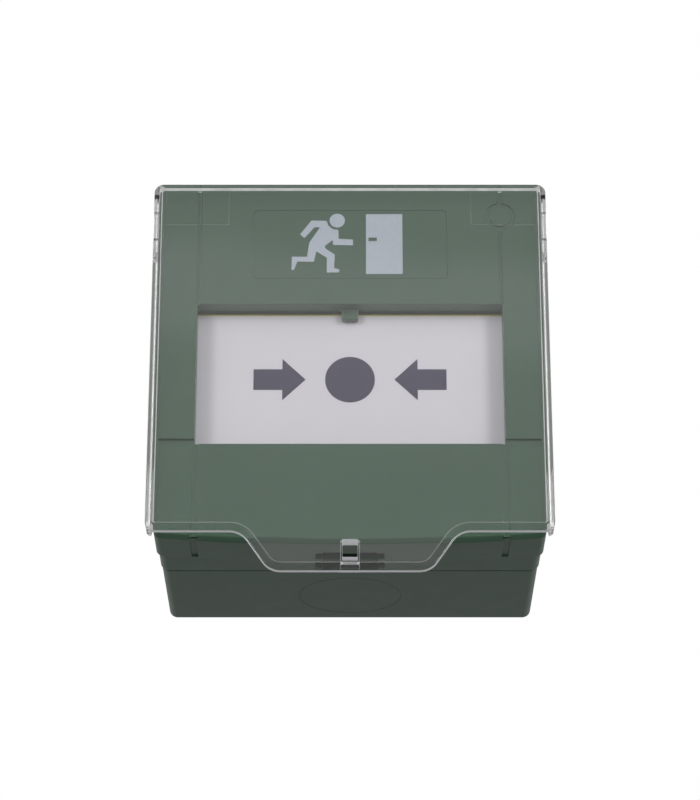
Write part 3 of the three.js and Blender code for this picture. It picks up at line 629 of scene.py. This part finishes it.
# The running figure on the label, in millimetres across and up from the origin
FIGURE_HEAD = (-3.05, 35.68, 1.83)
FIGURE_BODY = [
    (-11.9, 32.0), (-9.2, 35.7), (-5.6, 35.6), (-5.2, 34.4), (-4.1, 33.35), (-2.8, 33.2), (-2.7, 30.8),
    (0.7, 30.6), (0.7, 29.1), (-4.05, 29.2), (-4.1, 30.5), (-6.0, 28.9), (-5.9, 28.3), (-3.6, 26.6),
    (-3.8, 23.1), (-2.5, 22.6), (-2.6, 21.9), (-5.5, 21.9), (-5.5, 25.8), (-8.0, 27.5), (-8.6, 24.7),
    (-12.5, 24.8), (-13.3, 22.6), (-13.9, 22.6), (-13.8, 26.05), (-10.2, 26.05), (-9.7, 29.8),
    (-7.15, 33.9), (-8.5, 33.9), (-10.85, 31.0)]
DOOR = [(3.8, 21.5), (12.5, 21.5), (12.5, 37.4), (3.8, 37.4)]
HANDLE = [(4.4, 30.2), (6.4, 30.2), (6.4, 31.1), (4.4, 31.1)]
MARK_Z = -3.8                          # height of the arrows and the disc
ARROW = [
    (22.7, 2.65), (15.9, 2.65), (15.9, 5.3), (10.45, 0), (15.9, -5.3), (15.9, -2.65), (22.7, -2.65)]
DISC_RADIUS = 5.85
INK = 0.05 * MM
LABEL_SPREAD = 0.25                    # millimetres the film reaches past its CAD outline
LABEL_CORNER = 1.25


def make_label():
    """The film in its recess, with only a hairline left round it."""
    low, high = (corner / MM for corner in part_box("sign_label"))
    across = (low[0] - LABEL_SPREAD, high[0] + LABEL_SPREAD)
    upright = (low[2] - LABEL_SPREAD, high[2] + LABEL_SPREAD)
    outline = rounded_rectangle(across, upright, LABEL_CORNER)
    label = lofted("label_film", outline, soft_rings(low[1], high[1], 0.06))
    steady_shading(label)
    settle(label, "front_cap", "label_film")
    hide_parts("sign_label")


make_label()


def make_tell_tale():
    """A thin yellow line along the top of the plate."""
    low, high = (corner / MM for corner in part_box("element_plate"))
    across, deep = (low[0] + 0.9, high[0] - 0.9), (low[1] - 0.08, low[1] + 0.2)
    line = soft_block("yellow_line", across, deep, (high[2] - 0.38, high[2] - 0.12), 0.04)
    steady_shading(line)
    settle(line, "element", "yellow_plastic")


make_tell_tale()


def make_printing():
    label_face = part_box("sign_label")[0][1]
    printed(
        "escape_figure", [circle(*FIGURE_HEAD), FIGURE_BODY], label_face, INK,
        "front_cap", "label_film", pale_ink)
    printed("exit_door", [DOOR], label_face, INK, "front_cap", "label_film", pale_ink)
    printed(
        "door_handle", [HANDLE], label_face - INK, INK,
        "front_cap", "label_film", finishes["label_film"])
    plate_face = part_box("element_plate")[0][1]
    arrows = [[(side * x, MARK_Z + z) for x, z in ARROW] for side in SIDES.values()]
    printed(
        "press_marks", [*arrows, circle(0, MARK_Z, DISC_RADIUS, 96)], plate_face, INK,
        "element", "grey_plastic", grey_ink)


make_printing()

# ------------------------------------------------------------- the solid pieces

POLES = 6

# For each CAD node: its slot, and the width in millimetres and segments of its rounded edges
MOULDED = {
    "front_cap": ("green_plastic", 0.25, 3),
    "back_box": ("green_plastic", 0.3, 3),
    "chassis": ("green_plastic", 0.25, 2),
    "element_plate": ("white_plastic", 0.3, 3),
    "element_carrier": ("grey_plastic", 0.3, 2),
    "indicator_strip": ("yellow_plastic", 0.15, 2),
    "terminal_block": ("grey_plastic", 0.25, 2),
    "reset_slider": ("black_plastic", 0.3, 2),
    "circuit_board": ("board_resin", 0.1, 1),
    "earth_terminal": ("brass", 0.25, 2),
    "earth_screw": ("plated_steel", 0.15, 2),
    "sealing_gasket": ("foam_rubber", 0.3, 2),
}
for side in SIDES:
    MOULDED[f"microswitch_{side}"] = ("black_plastic", 0.25, 2)
    MOULDED[f"switch_plunger_{side}"] = ("red_plastic", 0.25, 2)
    MOULDED[f"chassis_screw_{side}"] = ("plated_steel", 0.2, 2)
    MOULDED[f"board_screw_{side}"] = ("plated_steel", 0.2, 2)
for pole in range(1, POLES + 1):
    MOULDED[f"terminal_screw_{pole}"] = ("plated_steel", 0.15, 2)

for node, (slot, width, segments) in MOULDED.items():
    refine(node, slot, width * MM, segments)


KNOCKOUT_RADIUS = 12.5
KNOCKOUT_Y = -16
GROOVE_WIDTH = 0.35
WEB_GAP = 0.03                         # left between the web and the groove's walls
WEB_DEPTH = (0.03, 0.14)               # where the web begins and ends under the box's face


def make_knockout_rings():
    """The thin web left in each cable-entry groove, so that only a hairline shows."""
    for name, end in (("bottom", -1), ("top", 1)):
        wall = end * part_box("back_box")[1][2] / MM
        near, far = sorted(wall - end * depth for depth in WEB_DEPTH)
        rings = [(0, near), (0, far)]
        outer = circle(0, KNOCKOUT_Y, KNOCKOUT_RADIUS - WEB_GAP, 96)
        ring = lofted(f"knockout_{name}", outer, rings, across_z)
        inner = circle(0, KNOCKOUT_Y, KNOCKOUT_RADIUS - GROOVE_WIDTH + WEB_GAP, 96)
        centre = lofted("centre", inner, [(0, near - 1), (0, far + 1)], across_z)
        boolean(ring, centre, "DIFFERENCE")
        steady_shading(ring)
        settle(ring, "root", "green_plastic")


make_knockout_rings()

# ---------------------------------------------------------------- the clear flap

# Millimetres, as are the flap's own functions
PANE = 1.8                             # thickness of the pane
FLAP_SIDE = 1.3                        # thickness of the side walls
FLAP_CORNER = 2.2
TAB_HALF = 18.3                        # half the width of the tab's lower edge
SHOULDER_HALF = 24.9                   # half the width where the tab leaves the pane
SHOULDER_Z = -44.95
TAB_ROUND = 4.9
TAB_SHORT = 0.25                       # the tab ends this much above its CAD solid
BORDER_WIDTH = 1.9
BORDER_DEPTH = 0.4
LINE_DEPTH = 0.06                      # fine step where the border begins
BAND_DEPTH = 0.18                      # end of the painted highlight band inside the border
FOOT_DEPTH = 4.5                       # depth of the side wall at its lower end
FOOT_RISE = 3.7
WALL_DEPTH = 9.5                       # from the front of the pane to the back of the side wall
EAR_DEPTH = 12.0
EAR_BOTTOM = 29.0
EAR_SLOT_HALF = 1                      # slot that lets the ear spring outwards
EAR_SLOT_BELOW = (9.6, 2.6)            # from the hinge down to the slot's two ends
STUB_RADIUS = 1.4
STUB_REACH = 1.6                       # of the hinge stub into the cap's side
PAD_INNER_X = 28.8                     # the thicker pad in each upper corner
PAD_BOTTOM = 33.2
RIB_X = (35.3, 36.3)
RIM = 0.7
RIM_DEPTH = 0.67
SEAL_HALF = 2.2
SEAL_HOLE_HALF = 1.72
SEAL_Z = (-51.95, -46.97)
SEAL_DEPTH = 3.9
SOFT = 0.25                            # rounding of the moulded edges
JOIN = 0.5                             # how far each added piece reaches into the pane
PAINTED_EDGE_LIGHT, PAINTED_HIGHLIGHT_BAND, PAINTED_HIGHLIGHT_LINE = 1, 2, 3            # the flap's material slots after the clear plastic: painted edge light, a painted highlight band and a painted highlight line


def flap_outline(half, top, bottom):
    right = [(half, SHOULDER_Z, FLAP_CORNER), (half, top, FLAP_CORNER)]
    left = [(-half, top, FLAP_CORNER), (-half, SHOULDER_Z, FLAP_CORNER)]
    tab = [
        (-SHOULDER_HALF, SHOULDER_Z, TAB_ROUND), (-TAB_HALF, bottom, TAB_ROUND),
        (TAB_HALF, bottom, TAB_ROUND), (SHOULDER_HALF, SHOULDER_Z, TAB_ROUND)]
    return rounded_outline(tab + right + left)


def flap_pane(half, front, bottom, top):
    """The pane with its sloping border, and a duct for a seal through the tab."""
    rear = front + PANE
    inside = rear - JOIN
    pane = lofted("flap_moulded", flap_outline(half, top, bottom), [
        (BORDER_WIDTH + 0.08, front),
        (BORDER_WIDTH - 0.1, front + LINE_DEPTH),
        (BORDER_WIDTH - 0.68, front + BAND_DEPTH),
        (SOFT + 0.05, front + BORDER_DEPTH - 0.04),
        (SOFT * 0.35, front + BORDER_DEPTH + 0.06),
        (0, front + BORDER_DEPTH + 0.25),
        (0, rear - SOFT),
        (SOFT * 0.3, rear - SOFT * 0.3),
        (SOFT, rear)])
    across = (-SEAL_HALF, SEAL_HALF)
    boolean(pane, soft_block("duct", across, (inside, front + SEAL_DEPTH), SEAL_Z, 0.2), "UNION")
    foot = (bottom + 0.3, SEAL_Z[0] + 0.5)
    boolean(pane, soft_block("duct_rib", across, (inside, rear + 0.8), foot, 0.15), "UNION")
    opening = (SEAL_Z[0] + 0.55, SEAL_Z[1] - 0.25)
    hole = prism("hole", (-SEAL_HOLE_HALF, SEAL_HOLE_HALF), (front - 1, rear + 4), opening, -0.1)
    boolean(pane, hole, "DIFFERENCE")
    return pane


def flap_wall_outline(front, top):
    """Side wall in y and z: shallow at the foot, with an ear at the hinge."""
    low = SHOULDER_Z + 0.03
    back = front + WALL_DEPTH
    ear = front + EAR_DEPTH
    return rounded_outline([
        (front + PANE - JOIN, low, 0), (front + FOOT_DEPTH, low, 0.8),
        (back, low + FOOT_RISE, 2.0), (back, EAR_BOTTOM - 3, 1.2), (ear, EAR_BOTTOM, 1.2),
        (ear, top - 0.03, 1.6), (front + PANE - JOIN, top - 0.03, 0)], 5)


def flap_wall(side, half, front, top):
    """One side wall, cut to the rounded square of the flap."""
    near, far = sorted((side * (half - FLAP_SIDE), side * (half - 0.03)))
    wall = lofted("wall", flap_wall_outline(front, top), soft_rings(near, far, SOFT), across_x)
    square = rounded_rectangle((-half, half), (SHOULDER_Z, top), FLAP_CORNER)
    ahead, behind = front + PANE - JOIN - 1, front + EAR_DEPTH + 1
    boolean(wall, lofted("sleeve", square, [(0.02, ahead), (0.02, behind)]), "INTERSECT")
    return wall


def add_hinge(flap, side, half, hinge):
    """The hinge stub inside one ear, and the slot under it."""
    hinge_y, hinge_z = hinge
    stub_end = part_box("front_cap")[1][0] / MM - STUB_REACH
    near, far = sorted((side * stub_end, side * (half - FLAP_SIDE + 0.4)))
    round_stub = circle(hinge_y, hinge_z, STUB_RADIUS, 32)
    boolean(flap, lofted("stub", round_stub, soft_rings(near, far, SOFT), across_x), "UNION")
    reach = sorted((side * (half - 3), side * (half + 1)))
    deep = (hinge_y - EAR_SLOT_HALF, hinge_y + EAR_SLOT_HALF)
    upright = (hinge_z - EAR_SLOT_BELOW[0], hinge_z - EAR_SLOT_BELOW[1])
    boolean(flap, prism("slot", reach, deep, upright), "DIFFERENCE")


def add_corner(flap, side, half, front, top):
    """The pad and the short rib in one upper corner."""
    rear = front + PANE
    inside = rear - JOIN
    across = sorted((side * PAD_INNER_X, side * (half - 0.9)))
    pad = soft_block("pad", across, (inside, rear + 0.1), (PAD_BOTTOM, top - 0.4), 0.08)
    boolean(flap, pad, "UNION")
    across = sorted(side * x for x in RIB_X)
    rib = soft_block("rib", across, (inside, rear + 0.6), (top - 1.6, top - 0.3), 0.15)
    boolean(flap, rib, "UNION")


def paint_edge_light_and_highlights(flap, half, front, top):
    """Painted light on the edges and duct, a pale colour for the light piped through the pane; and a
    painted highlight line where the sloping border begins, wider at the top.
    """
    for finish in (flap_edge_painted_light, flap_painted_highlight, flap_painted_highlight_line):
        flap.data.materials.append(finish)
    low, high = (front + BORDER_DEPTH + 0.05) * MM, (front + PANE) * MM
    duct_low, duct_high = (SEAL_Z[0] + 0.4) * MM, (SEAL_Z[1] - 0.1) * MM
    for face in flap.data.polygons:
        centre = face.center
        below = centre.z < (SHOULDER_Z + 0.6) * MM and abs(face.normal.y) < 0.85
        beside = abs(centre.x) > (half - 0.8) * MM and centre.z < (top - 1.5) * MM
        on_edge = low < centre.y < high and (below or beside and abs(face.normal.y) < 0.35)
        in_duct = abs(centre.x) < (SEAL_HOLE_HALF + 0.15) * MM and duct_low < centre.z < duct_high
        if on_edge or in_duct and abs(face.normal.y) < 0.35:
            face.material_index = PAINTED_EDGE_LIGHT
        depth = centre.y / MM - front
        upper = centre.z > (top - 2.5) * MM
        at_side = abs(centre.x) > (half - 2.5) * MM
        if 0.01 < depth < BAND_DEPTH and upper or 0.01 < depth < LINE_DEPTH and at_side:
            face.material_index = PAINTED_HIGHLIGHT_BAND
        elif 0.01 < depth < LINE_DEPTH:
            face.material_index = PAINTED_HIGHLIGHT_LINE


def make_flap():
    low, high = (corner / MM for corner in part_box("clear_flap"))
    half, front, bottom, top = high[0], low[1], low[2] + TAB_SHORT, high[2]
    flap = flap_pane(half, front, bottom, top)
    joints = frame["record"]["behaviour"]["joints"]
    pivot = next(joint["pos_m"] for joint in joints if joint["name"] == "flap_hinge")
    hinge = (pivot[1] / MM, pivot[2] / MM)
    for side in SIDES.values():
        boolean(flap, flap_wall(side, half, front, top), "UNION")
        add_hinge(flap, side, half, hinge)
        add_corner(flap, side, half, front, top)
    edge = (-half + 0.9, half - 0.9)
    depth = (front + PANE - JOIN, front + PANE + RIM_DEPTH)
    boolean(flap, soft_block("rim", edge, depth, (top - RIM, top - 0.08), 0.2), "UNION")
    weld(flap)
    steady_shading(flap)
    settle(flap, "flap", "clear_plastic")
    paint_edge_light_and_highlights(flap, half, front, top)
    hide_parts("clear_flap")


make_flap()

# -------------------------------------------------------------- the return spring

SPRING_TURNS = 6.5
CLOSED_TURNS = 0.9                     # flat turns at each end
SPRING_WIRE = 0.28 * MM                # radius of the wire


def spring_path(radius, middle_y, bottom, height):
    """A helix whose end turns lie flat."""
    path = []
    steps = int(SPRING_TURNS * 20)
    for i in range(steps + 1):
        turned = i / steps * SPRING_TURNS
        rise = (turned - CLOSED_TURNS) / (SPRING_TURNS - 2 * CLOSED_TURNS)
        angle = 2 * math.pi * turned
        z = bottom + height * min(1.0, max(0.0, rise))
        path.append((radius * math.cos(angle), middle_y + radius * math.sin(angle), z))
    return path


def make_spring():
    """The return spring over the reset slider."""
    low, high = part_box("reset_spring")
    radius = (high[0] - low[0]) / 2 - SPRING_WIRE
    middle_y = (low[1] + high[1]) / 2
    height = high[2] - low[2] - 2 * SPRING_WIRE
    path = spring_path(radius, middle_y, low[2] + SPRING_WIRE, height)
    spring = wire("return_spring", path, SPRING_WIRE, 3, 60)
    spring.data.materials.append(finishes["plated_steel"])
    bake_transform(spring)
    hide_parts("reset_spring")


make_spring()

# ------------------------------------------------------------- the circuit board

POLE_PITCH = 5.08
SOLDER_Z = -4.6
TRACE = 0.05                           # thickness of the copper tracks
RESISTOR_RADIUS = 1.1
RESISTOR_LENGTH = 6.0
LEAD_RADIUS = 0.3
# Half of a resistor's outline: share of its radius, and distance from its end
WAIST = [(0.72, 0.0), (0.95, 0.25), (1.0, 0.8), (1.0, 1.4), (0.86, 1.9)]


def dome(name, x, z, radius, face, height):
    """A low round blob of solder standing on a face."""
    turns = [math.pi / 2 * step / 5 for step in range(6)]
    rings = [(0.8 * radius * (1 - math.cos(t)), face - height * math.sin(t)) for t in turns]
    return lofted(name, circle(x, z, radius, 20), [(0, face + 0.02), *rings[1:]])


def make_solder(face):
    """One blob per terminal, joined by a copper track to its own test pad."""
    for pole in range(POLES):
        x = (pole - (POLES - 1) / 2) * POLE_PITCH
        blob = dome(f"solder_{pole + 1}", x, SOLDER_Z, 0.95, face, 0.7)
        steady_shading(blob)
        settle(blob, "root", "plated_steel", solder)
        bend = 1.6 if pole % 2 else 3.1
        track = [
            (x - 0.4, SOLDER_Z - 0.7), (x - 0.4, SOLDER_Z - bend),
            (x + 0.4, SOLDER_Z - bend), (x + 0.4, SOLDER_Z - 0.7)]
        pad = circle(x, SOLDER_Z - bend - 0.7, 0.85, 24)
        printed(
            f"track_{pole + 1}", [track, pad], face * MM, TRACE * MM,
            "root", "board_resin", masked_copper)


def make_resistor(name, x, z, face):
    """An axial resistor lying on the board: a waisted body and two bent leads."""
    middle = face - RESISTOR_RADIUS - 0.35
    end = RESISTOR_LENGTH / 2
    stations = WAIST + [(share, RESISTOR_LENGTH - along) for share, along in reversed(WAIST)]
    rings = [(RESISTOR_RADIUS * (1 - share), x - end + along) for share, along in stations]
    body = lofted(name, circle(middle, z, RESISTOR_RADIUS, 28), rings, across_x)
    steady_shading(body)
    settle(body, "root", "grey_plastic", resistor_body)
    bends = [
        (end - 0.1, middle), (end + 1.0, middle), (end + 1.45, middle + 0.2),
        (end + 1.6, middle + 0.6), (end + 1.6, face + 0.02)]
    for side_name, side in SIDES.items():
        path = [((x + side * along) * MM, y * MM, z * MM) for along, y in bends]
        leg = wire(f"{name}_lead_{side_name}", path, LEAD_RADIUS * MM, 2, 50)
        settle(leg, "root", "plated_steel", solder)


def make_board_parts():
    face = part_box("circuit_board")[0][1] / MM
    make_solder(face)
    for name, side in SIDES.items():
        make_resistor(f"resistor_{name}", side * 9, 10.5, face)
        lamp = lofted(f"lamp_{name}", circle(side * 26, 9, 1.5, 32), [
            (0, face + 0.02), (0, face - 2.4),
            (0.2, face - 3.1), (0.65, face - 3.6), (1.1, face - 3.8)])
        steady_shading(lamp)
        settle(lamp, "root", "red_plastic")


make_board_parts()

# ------------------------------------------------------------- studio and light

FLOOR_DROP = 0.9                       # the floor lies this far below the middle of the box
LIGHT_PLACE = (0.92, -1.22, 0.2)       # of the right-hand light
LIGHT_SIZE = (0.45, 0.7)
LIGHT_AIM = (0, -0.05, 0)
LIGHT_POWER = {"left": 0.78, "right": 0.88}


def make_floor():
    """Paper that looks pale to the camera, and throws back only as much light as grey paper."""
    mesh = bpy.data.meshes.new("floor")
    reach = 3.0
    corners = [(-reach, -reach), (reach, -reach), (reach, reach), (-reach, reach)]
    mesh.from_pydata([(x, y, -FLOOR_DROP) for x, y in corners], [], [(0, 1, 2, 3)])
    floor = link_object("floor", mesh)
    material, nodes, coords = new_material("floor_paper")
    shader = nodes.add("ShaderNodeBsdfPrincipled")
    fibre = nodes.noise(coords, 400, 4.0)
    grey = nodes.mix(fibre, colour(0.43, 0.43, 0.43), colour(0.47, 0.47, 0.47))
    pale = nodes.mix(fibre, colour(0.84, 0.84, 0.84), colour(0.88, 0.88, 0.88))
    path = nodes.add("ShaderNodeLightPath")
    nodes.link(nodes.mix(path.outputs["Is Camera Ray"], grey, pale), shader.inputs["Base Color"])
    shader.inputs["Roughness"].default_value = 0.8
    finish_material(nodes, shader.outputs[0])
    mesh.materials.append(material)


def front_brightness(nodes, height, across):
    """Lighter upwards, darker again overhead, with a faint strip that leans a little."""
    tilted = nodes.math("ADD", height, nodes.math("MULTIPLY", across, 0.06))
    front = nodes.spread(height, -0.06, 0.37, 0.28, 0.64)
    front = nodes.math("ADD", front, nodes.spread(height, 0.37, 0.41, 0.0, 0.10))
    front = nodes.math("ADD", front, nodes.spread(height, 0.68, 0.78, 0.0, -0.24))
    rise = nodes.spread(tilted, 0.408, 0.426, 0.0, 0.36)
    fall = nodes.spread(tilted, 0.438, 0.452, 1.0, 0.0)
    return nodes.math("ADD", front, nodes.math("MULTIPLY", rise, fall))


def make_world():
    """Plain white to the camera; everything else is lit by a grey room."""
    world = bpy.data.worlds.new("studio")
    world.use_nodes = True
    scene.world = world
    nodes = Nodes(world.node_tree)
    direction = nodes.add("ShaderNodeTexCoord").outputs["Generated"]
    parts = nodes.add("ShaderNodeSeparateXYZ")
    nodes.link(direction, parts.inputs[0])
    front = front_brightness(nodes, parts.outputs["Z"], parts.outputs["X"])
    behind = nodes.spread(parts.outputs["Y"], 0.0, 0.7)
    room = nodes.mix_number(behind, front, 0.42)
    path = nodes.add("ShaderNodeLightPath")
    seen = nodes.mix_number(path.outputs["Is Camera Ray"], room, 1.0)
    background = nodes.add("ShaderNodeBackground")
    background.inputs["Color"].default_value = colour(1, 1, 1)
    nodes.link(seen, background.inputs["Strength"])
    output = nodes.add("ShaderNodeOutputWorld")
    nodes.link(background.outputs[0], output.inputs["Surface"])


def make_softbox(side):
    light = bpy.data.lights.new(f"{side}_light", "AREA")
    light.spread = math.radians(60)
    light.shape = "RECTANGLE"
    light.size, light.size_y = LIGHT_SIZE
    light.energy = LIGHT_POWER[side]
    lamp = bpy.data.objects.new(f"{side}_light", light)
    x, y, z = LIGHT_PLACE
    lamp.location = (SIDES[side] * x, y, z)
    aim = Vector(LIGHT_AIM) - lamp.location
    lamp.rotation_euler = aim.to_track_quat("-Z", "Y").to_euler()
    scene.collection.objects.link(lamp)


make_floor()
make_world()
for side in SIDES:
    make_softbox(side)
